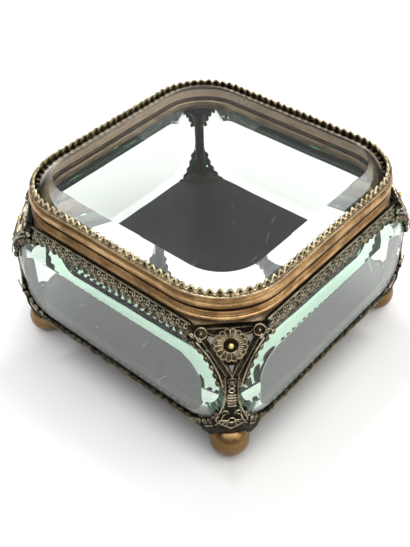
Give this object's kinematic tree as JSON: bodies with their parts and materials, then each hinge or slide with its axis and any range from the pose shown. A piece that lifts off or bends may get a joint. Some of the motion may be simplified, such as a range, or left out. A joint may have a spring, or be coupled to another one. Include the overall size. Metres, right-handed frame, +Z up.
{
  "type": "glass casket box",
  "caption": "Square keepsake casket of thick bevelled glass in stamped and moulded brass, on ball feet, with a hinged bevelled glass lid.",
  "frame": {"origin": "centre of the standing surface under the ball feet", "axes": "+Z up, -Y to the front, +Y to the hinged side, +X to the right"},
  "size_m": [0.1274, 0.1281, 0.0832],
  "materials": {
    "frame_metal": "polished copper-brown brass, worn to gold on the edges",
    "gilt_metal": "pale gilt, pierced, dark in the holes",
    "reeded_metal": "reeded, brown, satin",
    "stamped_metal": "stamped, dark patina in the hollows, bright on the raised parts",
    "daisy_metal": "stamped, light petal edges over dark grooves",
    "boss_metal": "polished yellow brass",
    "post_metal": "dark bronze patina",
    "foot_metal": "turned, polished, brown in the hollows",
    "hinge_metal": "rolled brass sheet, satin",
    "pin_steel": "drawn wire",
    "clear_glass": "polished, green in the thick bevels",
    "dark_board": "pasteboard covered in black paper",
    "dark_floor": "near black, dusty, soft gloss"
  },
  "bodies": {
    "case": {"hinge_body": "hinge_metal", "hinge_pin": "pin_steel", "body_rim": "frame_metal", "glass_front": "clear_glass", "glass_right": "clear_glass", "glass_back": "clear_glass", "glass_left": "clear_glass", "base_plate": "stamped_metal", "floor_core": "dark_board", "floor_plate": "dark_floor", "gallery_front": "stamped_metal", "gallery_right": "stamped_metal", "gallery_back": "stamped_metal", "gallery_left": "stamped_metal", "lace_front": "stamped_metal", "lace_right": "stamped_metal", "lace_back": "stamped_metal", "lace_left": "stamped_metal", "mount_fr": "stamped_metal", "mount_br": "stamped_metal", "mount_bl": "stamped_metal", "mount_fl": "stamped_metal", "daisy_fr": "daisy_metal", "daisy_br": "daisy_metal", "daisy_bl": "daisy_metal", "daisy_fl": "daisy_metal", "boss_fr": "boss_metal", "boss_br": "boss_metal", "boss_bl": "boss_metal", "boss_fl": "boss_metal", "post_fr": "post_metal", "post_br": "post_metal", "post_bl": "post_metal", "post_fl": "post_metal", "foot_fr": "foot_metal", "foot_br": "foot_metal", "foot_bl": "foot_metal", "foot_fl": "foot_metal"},
    "lid": {"lid_frame": "frame_metal", "lid_glass": "clear_glass", "lid_edging": "gilt_metal", "lid_liner": "reeded_metal", "hinge_lid": "hinge_metal"}
  },
  "joints": [
    {"name": "lid_hinge", "type": "hinge", "parent": "case", "child": "lid", "pos_m": [0, 0.0624, 0.069], "axis": [-1, 0, 0], "range_deg": [0, 100]}
  ]
}
